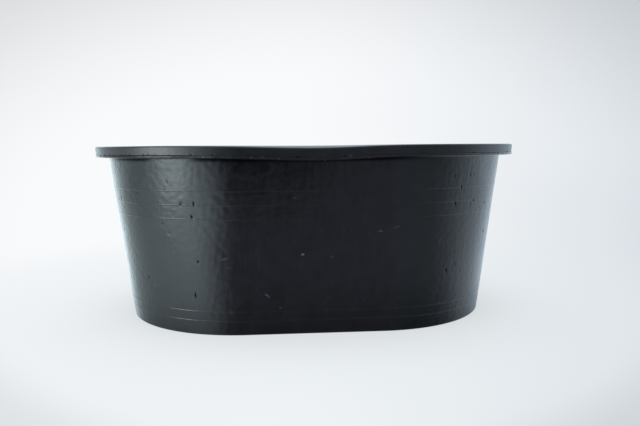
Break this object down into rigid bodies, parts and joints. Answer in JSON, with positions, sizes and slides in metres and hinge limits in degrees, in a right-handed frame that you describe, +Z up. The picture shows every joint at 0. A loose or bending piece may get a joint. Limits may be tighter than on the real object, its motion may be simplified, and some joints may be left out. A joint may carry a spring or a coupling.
{
  "type": "mortar mixing tub",
  "caption": "Oval black rubber mortar mixing tub with a leaning wall, fine level ridges and a thick square rim stiffened by a hidden steel hoop.",
  "frame": {"origin": "middle of the foot, on the ground", "axes": "+Z up, +X along the tub's long side, -Y the long side that faces the viewer"},
  "size_m": [0.7494, 0.5294, 0.297],
  "materials": {
    "shell_rubber": "semi-matte moulded black rubber, lightly scuffed",
    "band_rubber": "semi-matte moulded black rubber",
    "hoop_steel": "drawn mild-steel wire, dull",
    "sleeve_steel": "zinc-plated steel, crimped"
  },
  "bodies": {
    "root": {"tub_shell": "shell_rubber", "rim_band": "band_rubber", "rim_hoop": "hoop_steel", "hoop_sleeve": "sleeve_steel"}
  },
  "joints": []
}
